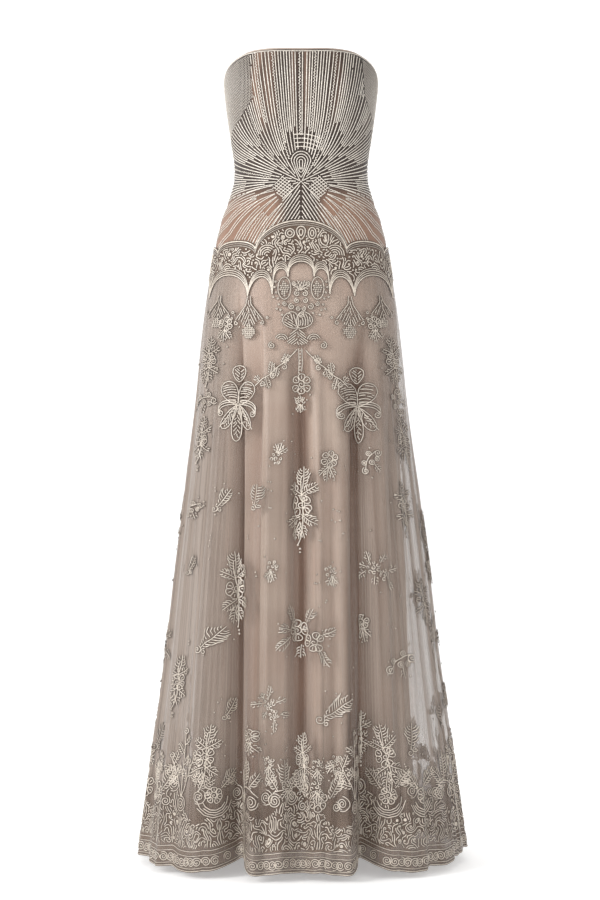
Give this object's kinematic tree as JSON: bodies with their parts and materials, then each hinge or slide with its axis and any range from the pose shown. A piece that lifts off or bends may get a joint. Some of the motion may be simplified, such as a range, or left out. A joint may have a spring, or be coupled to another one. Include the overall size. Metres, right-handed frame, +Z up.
{
  "type": "strapless evening gown",
  "caption": "Floor-length strapless gown: fitted beaded bodice, scalloped lace yoke, satin underskirt, flared net overskirt with a lace hem and a back zip.",
  "frame": {"origin": "middle of the gown at waist level, where the wearer's waist holds it up", "axes": "+Z up towards the neck opening, -Y out of the front, +X across the front to the viewer's right"},
  "size_m": [0.574, 0.512, 1.3988],
  "materials": {
    "beaded_net": "nude net with rows of ivory beads",
    "satin": "soft satin",
    "net": "sheer net",
    "lace": "corded and beaded lace",
    "binding": "bound bias edge",
    "zip_metal": "painted zip"
  },
  "bodies": {
    "gown": {"bodice_front": "beaded_net", "bodice_back_right": "beaded_net", "bodice_back_left": "beaded_net", "top_binding": "binding", "underskirt_front": "satin", "underskirt_back_right": "satin", "underskirt_back_left": "satin", "overskirt_front": "net", "overskirt_back_right": "net", "overskirt_back_left": "net", "yoke_front": "lace", "yoke_back_right": "lace", "yoke_back_left": "lace", "hem_border_front": "lace", "hem_border_back_right": "lace", "hem_border_back_left": "lace", "back_zip": "zip_metal", "zip_slider": "zip_metal"},
    "zip_pull": {"zip_pull": "zip_metal"}
  },
  "joints": [
    {"name": "pull_hinge", "type": "hinge", "parent": "gown", "child": "zip_pull", "pos_m": [0, 0.09707, 0.131], "axis": [1, 0, 0], "range_deg": [-8, 150]}
  ]
}
